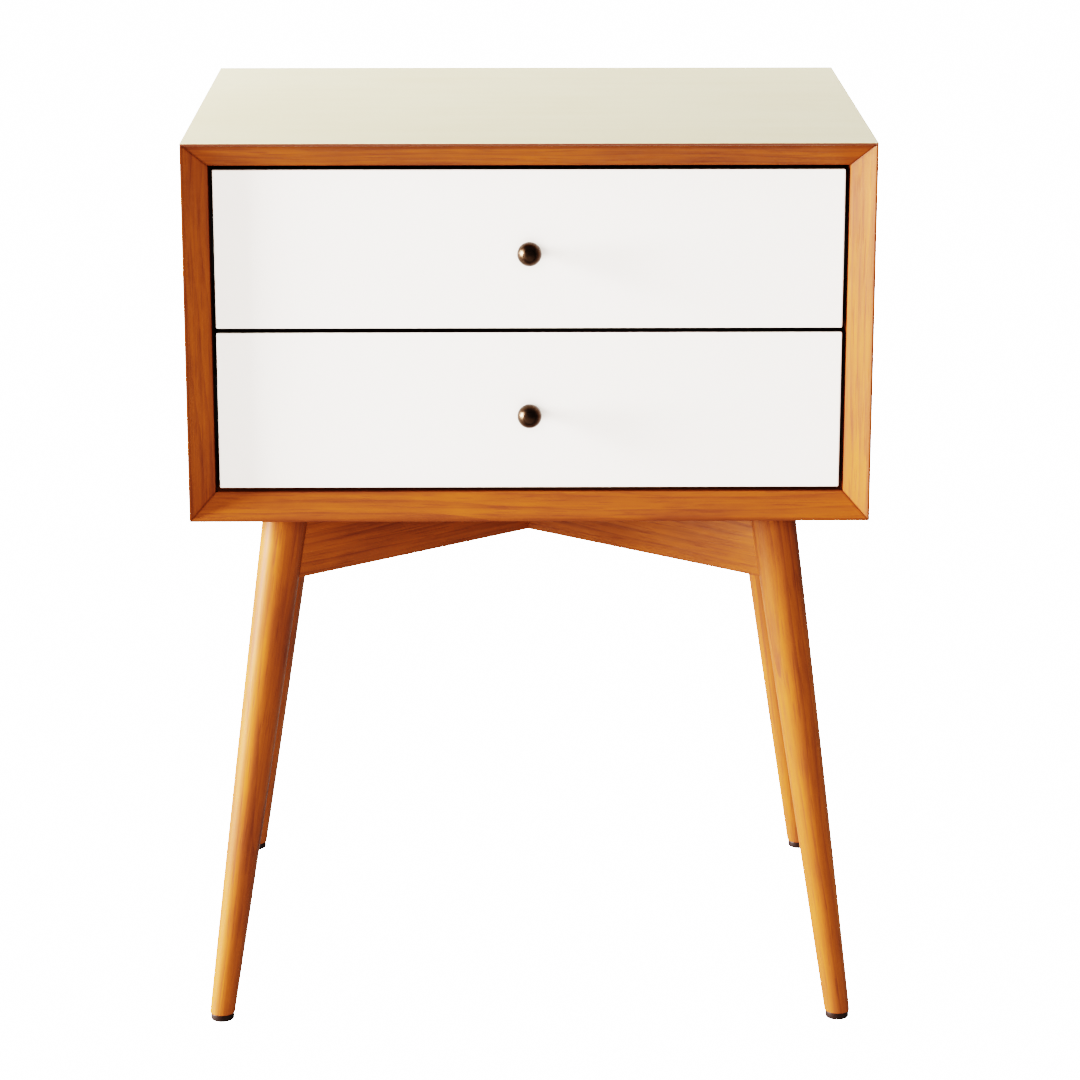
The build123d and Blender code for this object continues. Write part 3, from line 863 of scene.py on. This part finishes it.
top_sheet = ease(copy_of("top_sheet", "top_sheet_lacquered"), sheet_edge, 4)
stain_and_shade_edges(top_sheet, lambda face: face.center.z < case_high.z - sheet_edge and face.normal.z > -0.9)
fit(top_sheet, "case", "cream_lacquer", "top_sheet")


# --- Slides -----------------------------------------------------------------------
# Ball-bearing slides: a channel on the case, one on the drawer and one between them, rolled
# from strip and coated black, with bright steel balls held in thin plated cages.

new_finish(
    "black_steel", metal_group,
    {"Base": (0.028, 0.028, 0.03, 1), "Tarnish": (0.045, 0.044, 0.043, 1), "Patch size": 0.02,
     "Brushing": (1, 0.04, 1), "Brushing contrast": 0.12, "Gloss roughness": 0.42},
    0.1, 0.00005, Specular_IOR_Level=0.4)
steel = 0.0012


def rolled_channel(name, web, lips, across, middle, half_height, ends, thickness=steel, bend=0.0019):
    """A channel rolled from strip: a web with a lip turned over at its top and its bottom.

    The web's outer face and the lips' ends are given as distances from the case's side.
    """
    inner = web + (thickness if lips > web else -thickness)
    inside = half_height - thickness
    small = thickness * 0.25
    tight = bend - thickness
    section = rounded([(web, -half_height, bend), (lips, -half_height, small), (lips, -inside, small),
                       (inner, -inside, tight), (inner, inside, tight), (lips, inside, small),
                       (lips, half_height, small), (web, half_height, bend)], 4)
    shape = bmesh.new()
    skin(shape, [[shape.verts.new((across(point.x), y, middle + point.y)) for point in section]
                 for y in ends])
    return from_shape(name, shape)


punch_reach = 0.002


def punched(channel, across, web, middle, holes):
    """Punches holes and slots through a channel's web: (y, radius, length) each."""
    tools = bmesh.new()
    for y, radius, length in holes:
        ring = []
        for step in range(24):
            angle = 2 * math.pi * step / 24
            shift = length / 2 if math.cos(angle) > 0 else -length / 2
            ring.append((y + shift + radius * math.cos(angle), middle + radius * math.sin(angle)))
        skin(tools, [[tools.verts.new((across(level), y, z)) for y, z in ring]
                     for level in (web - punch_reach, web + punch_reach)])
    cut_away(channel, from_shape(channel.name + "_punch", tools, False))
    return split_sharp(channel)


slot_radius = 0.004
slot_length = 0.012
window_length = 0.014
ball_radius = 0.00145
ball_step = 0.009
first_ball = 0.006
cage_steel = 0.0004
cage_bend = 0.0009
race_gap = 0.0015
cage_play = 0.03
ball = bmesh.new()
bmesh.ops.create_icosphere(ball, subdivisions=2, radius=ball_radius)
ball_pattern = from_shape("ball_pattern", ball)
opening_half = case_middle.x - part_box("left_side_panel")[1].x
for level in ("upper", "lower"):
    for side, turn in (("left", 1), ("right", -1)):
        def across(distance):
            """The X of a distance from the case's side."""
            return case_middle.x - turn * (opening_half - distance)

        base = level + "_" + side + "_slide"
        low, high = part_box(base + "_cabinet")
        middle = (low.z + high.z) / 2
        ends = (low.y, high.y)
        length = high.y - low.y
        heights = {}
        channels = {}
        for part, web, lips in (("cabinet", 0, 0.010), ("middle", 0.0034, 0.0114),
                                ("drawer", 0.0129, 0.0054)):
            part_low, part_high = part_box(base + "_" + part)
            heights[part] = (part_high.z - part_low.z) / 2
            channels[part] = rolled_channel(base + "_" + part + "_rolled", web, lips, across, middle,
                                            heights[part], ends)
        fit(split_sharp(channels["cabinet"]), "case", "black_steel", base + "_cabinet")
        slots = [(low.y + length * share, slot_radius, slot_length)
                 for share in (0.14, 0.36, 0.64, 0.86)]
        punched(channels["middle"], across, 0.004, middle, slots)
        fit(channels["middle"], level + "_slide_middles", "black_steel", base + "_middle")
        fit(split_sharp(channels["drawer"]), level + "_drawer", "black_steel", base + "_drawer")
        # The outer cage stays in the back half of the middle channel, the inner one in the front
        half = length / 2
        cage_length = half - cage_play
        for cage, web, lips, race, place, start in (
                ("outer", 0.0028, 0.0096, heights["middle"] + race_gap, 0.0071, low.y + half + 0.018),
                ("inner", 0.0048, 0.0112, heights["drawer"] + race_gap, 0.0084, low.y + 0.012)):
            strip = rolled_channel(base + "_" + cage + "_cage", web, lips, across, middle,
                                   race + cage_steel / 2, (start, start + cage_length), cage_steel,
                                   cage_bend)
            windows = [(start + cage_length * share, race * 0.55, window_length)
                       for share in (0.2, 0.5, 0.8)]
            punched(strip, across, web, middle, windows)
            fit(strip, level + "_slide_middles", "zinc_steel")
            steps = 1 + int((half - (cage_play + 2 * first_ball)) / ball_step)
            points = [(across(place), start + first_ball + step * ball_step, middle + edge * race)
                      for step in range(steps) for edge in (-1, 1)]
            balls = set_fixings(base + "_" + cage + "_balls", points, up, ball_pattern, "zinc_steel")
            fit(balls, level + "_slide_middles", "zinc_steel")


# --- Slide screws -----------------------------------------------------------------
# The same pan-head screws, short ones into the case's sides and shorter ones into the
# drawer boxes, through the webs of the channels.

drawer_screw = pan_screw("drawer_screw_pattern", 0.0095)
cabinet_screw = pan_screw("cabinet_screw_pattern", 0.0130)


def sided_screws(name, node, pattern, inward, body, seed):
    """A slide's screws on both sides of the case: they face inwards, or outwards."""
    points = []
    ways = []
    for low, high in islands(node):
        side = 1 if (low + high).x / 2 < case_middle.x else -1
        ways.append(Vector((side if inward else -side, 0, 0)))
        points.append(seat(low, high, ways[-1]))
    screws = set_fixings(name, points, ways, pattern, "zinc_steel", seed)
    return fit(screws, body, "zinc_steel", node)


sided_screws("slide_cabinet_screw_set", "slide_cabinet_screws", cabinet_screw, True, "case", 11)
for seed, level in ((13, "upper"), (17, "lower")):
    sided_screws(level + "_slide_screw_set", level + "_slide_screws", drawer_screw, False,
                 level + "_drawer", seed)


# --- Drawer boxes -----------------------------------------------------------------
# Boxes of clear-lacquered birch plywood, let into each other at the corners, with thin
# plywood bottoms in a groove. The plies show on the sawn top edges.

new_finish(
    "birch_plywood", grain_group,
    {"Light": (0.8, 0.62, 0.4, 1), "Dark": (0.56, 0.37, 0.2, 1), "Ring spacing": 0.022,
     "Ring contrast": 0.3, "Streak contrast": 0.45, "Blotch contrast": 0.35, "Pores": 0.25,
     "Arris stain": 0.15, "Ply": 0.0012, "Ply contrast": 0.85, "Gloss roughness": 0.45},
    0.2, 0.0002, wood_reads, Coat_Weight=0.15, Coat_Roughness=0.3)
plywood_arris = 0.0005
for shift, level in ((0.0, "upper"), (5.0, "lower")):
    for count, (side, along, through) in enumerate((
            ("front", across_x, across_y), ("back", across_x, across_y), ("left", across_y, across_x),
            ("right", across_y, across_x), ("bottom", across_x, up))):
        node = level + "_box_" + side
        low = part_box(node)[0]
        # The plies are counted from the board's own face
        seed = (shift + 0.6 * count, 0.04 * count, -low.dot(Vector(through)))
        board(node, plywood_arris, along, through, seed, "birch_plywood", level + "_drawer", 2)


# --- Drawer fronts ----------------------------------------------------------------
# Flat fronts sprayed white in a satin lacquer, with softly rounded edges, screwed to the
# boxes from inside. Their narrow sides are painted near-black, a painted shade that makes the gaps read
# as dark lines.

def slab(node, name, arris, segments):
    """A plain slab with eased edges, as large as a CAD node."""
    low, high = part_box(node)
    shape = bmesh.new()
    bmesh.ops.create_cube(shape, size=1.0)
    for vertex in shape.verts:
        vertex.co = [middle + half * size for middle, half, size in
                     zip((low + high) / 2, vertex.co, high - low)]
    return ease(from_shape(name, shape, False), arris, segments)


new_finish(
    "white_lacquer", lacquer_group,
    {"Base": (0.94, 0.86, 0.79, 1), "Shift": (0.91, 0.815, 0.73, 1), "Shift share": 0.5,
     "Gloss roughness": 0.38},
    0.1, 0.0001, {"Edge": "edge"}, Coat_Weight=0.3, Coat_Roughness=0.25)
front_screw = pan_screw("front_screw_pattern", 0.022)
front_edge = 0.001
for seed, level in ((19, "upper"), (23, "lower")):
    front = slab(level + "_front", level + "_front_lacquered", front_edge, 4)
    sprayed_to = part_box(level + "_front")[0].y + front_edge * 1.2
    # The narrow sides take the near-black edge colour, a painted shade that darkens the gaps between
    # the fronts.
    stain_and_shade_edges(front, lambda face: face.center.y > sprayed_to and abs(face.normal.y) < 0.9)
    fit(front, level + "_drawer", "white_lacquer", level + "_front")
    for part in ("_front_screws", "_knob_screw"):
        fastened(level + part + "_set", level + part, across_y, front_screw, level + "_drawer", seed)


# --- Knobs ------------------------------------------------------------------------
# Turned brass knobs, plated dark bronze: a round base, a slim neck and a ball with a fine
# groove round a small disc at its front. Handling has rubbed the plating thin over the ball's front.

knob_radius = 0.0081
knob_base_radius = 0.0044
knob_base_height = 0.0012
knob_neck_radius = 0.0033
knob_disc_radius = 0.0042
knob_groove = 0.0003
knob_groove_width = 0.0004
new_finish(
    "antique_bronze", metal_group,
    {"Base": (0.055, 0.032, 0.02, 1), "Tarnish": (0.022, 0.013, 0.009, 1),
     "Rubbed": (0.10, 0.062, 0.04, 1), "Patch size": 0.004, "Brushing contrast": 0.06,
     "Gloss roughness": 0.32},
    0.08, 0.00003, {"Rub": "rub"}, Metallic=1.0)


def knob_outline(projection):
    """The knob's outline from its base to the tip of its ball: (radius, height) points."""
    centre = projection - knob_radius
    neck_end = centre - math.sqrt(knob_radius ** 2 - knob_neck_radius ** 2)
    foot = rounded([(0, 0, 0), (knob_base_radius, 0, 0.0002),
                    (knob_base_radius, knob_base_height, 0.0004),
                    (knob_neck_radius, knob_base_height, 0.0008),
                    (knob_neck_radius, neck_end, 0)], 5)
    points = [(point.x, point.y) for point in foot[:-1]]

    def ball(start, end, steps, sunk=0.0):
        """Points along the ball, from one angle to another above its middle."""
        for step in range(steps + 1):
            angle = start + (end - start) * step / steps
            reach = knob_radius - sunk
            points.append((max(0.0, reach * math.cos(angle)), centre + reach * math.sin(angle)))

    rim = math.acos(knob_disc_radius / knob_radius)
    gap = knob_groove_width / knob_radius
    ball(-math.acos(knob_neck_radius / knob_radius), rim, 26)
    ball(rim + gap * 0.3, rim + gap * 0.8, 2, knob_groove)
    ball(rim + gap * 1.2, math.pi / 2, 10)
    return points


for level in ("upper", "lower"):
    low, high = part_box(level + "_knob")
    foot = ((low.x + high.x) / 2, high.y, (low.z + high.z) / 2)
    outline = knob_outline(high.y - low.y)
    knob = turned(level + "_knob_turned", outline, foot, (0, -1, 0), 64)
    rub = knob.data.attributes.new("rub", "FLOAT", "POINT")
    for vertex in knob.data.vertices:
        share = (high.y - vertex.co.y) / (high.y - low.y)
        rub.data[vertex.index].value = max(0.0, share * 2 - 1) ** 1.5
    fit(split_sharp(knob, 50), level + "_drawer", "antique_bronze", level + "_knob")


# --- Bumpers ----------------------------------------------------------------------
# Black rubber buttons glued to the back panel, which stop the drawer boxes just short of it.

new_finish(
    "rubber", moulded_group,
    {"Base": (0.022, 0.021, 0.02, 1), "Worn": (0.06, 0.058, 0.055, 1), "Texture size": 0.0004,
     "Gloss roughness": 0.62},
    0.4, 0.0001)
bumper_boxes = islands("drawer_bumpers")
bumper_low, bumper_high = bumper_boxes[-1]
bumper_length = bumper_high.y - bumper_low.y
bumper_radius = (bumper_high.x - bumper_low.x) / 2
button_outline = rounded([(0, 0, 0), (bumper_radius, 0, 0.0002),
                          (bumper_radius * 0.9, bumper_length, 0.0015), (0, bumper_length, 0)])
button = turned("bumper_pattern", button_outline, (0, 0, 0), (0, 0, 1), 32)
points = [((low.x + high.x) / 2, high.y, (low.z + high.z) / 2) for low, high in bumper_boxes]
bumpers = set_fixings("drawer_bumper_set", points, (0, -1, 0), button, "rubber")
fit(bumpers, "case", "rubber", "drawer_bumpers")
for pattern in (case_screw, socket_bolt, drawer_screw, cabinet_screw, front_screw, ball_pattern,
                button):
    bpy.data.objects.remove(pattern)


# --- Studio -----------------------------------------------------------------------
# White paper, a low soft window light on the left, a wide fill in front, weaker ones above
# and behind, and the camera in front of the drawers, looking slightly down.

scene = bpy.context.scene
bpy.ops.mesh.primitive_plane_add(size=24.0)
floor = bpy.context.object
floor.name = "studio_floor"
paper = bpy.data.materials.new("studio_paper")
paper.use_nodes = True
paper_surface = paper.node_tree.nodes["Principled BSDF"]
for socket, value in (("Base Color", (0.25, 0.25, 0.25, 1)), ("Roughness", 0.8),
                      ("Emission Color", (1, 1, 1, 1))):
    paper_surface.inputs[socket].default_value = value
# The paper glows to the camera only, so that it stays pale where the lamps don't reach
in_view = add(paper.node_tree, "ShaderNodeLightPath").outputs["Is Camera Ray"]
paper.node_tree.links.new(remap(paper.node_tree, in_view, 0.0, 1.0, 0.0, 6.0),
                          paper_surface.inputs["Emission Strength"])
floor.data.materials.append(paper)

world = bpy.data.worlds.new("studio")
scene.world = world
world.use_nodes = True
sky = world.node_tree
shown = sky.nodes["Background"]
shown.inputs["Color"].default_value = (1, 1, 1, 1)
seen = add(sky, "ShaderNodeLightPath").outputs["Is Camera Ray"]
sky.links.new(remap(sky, seen, 0.0, 1.0, 0.11, 8.0), shown.inputs["Strength"])


def softbox(name, place, target, size, energy, mirrored=True):
    """A square soft light that faces a target, and shows in polished surfaces or not."""
    lamp = bpy.data.lights.new(name, "AREA")
    lamp.energy = energy
    lamp.size = size
    made = bpy.data.objects.new(name, lamp)
    scene.collection.objects.link(made)
    made.visible_glossy = mirrored
    made.location = place
    made.rotation_euler = (Vector(target) - Vector(place)).to_track_quat("-Z", "Y").to_euler()
    return made


softbox("window_light", (-3.4, -0.5, 1.05), (0, 0, 0.4), 1.5, 395)
softbox("front_fill", (-0.3, -3.6, 1.0), (0, 0, 0.5), 2.4, 82, False)
softbox("top_light", (1.0, 0.8, 2.6), (0, 0, 0.6), 1.6, 36, False)
softbox("back_fill", (1.0, 3.2, 2.0), (0, 0, 0.4), 2.0, 30, False)

lens = bpy.data.cameras.new("camera")
lens.lens = 117.67
lens.sensor_width = 36.0
camera = bpy.data.objects.new("camera", lens)
scene.collection.objects.link(camera)
scene.camera = camera
camera_left, camera_distance, camera_height = 0.0142, 2.2877, 0.9917
camera.location = (case_middle.x - camera_left, case_low.y - camera_distance, camera_height)
pitch, yaw = math.radians(15.69), math.radians(0.53)
camera.rotation_euler = (math.pi / 2 - pitch, 0, -yaw)

scene.view_settings.view_transform = "Filmic"
scene.view_settings.look = "Very High Contrast"
scene.view_settings.exposure = 1.0
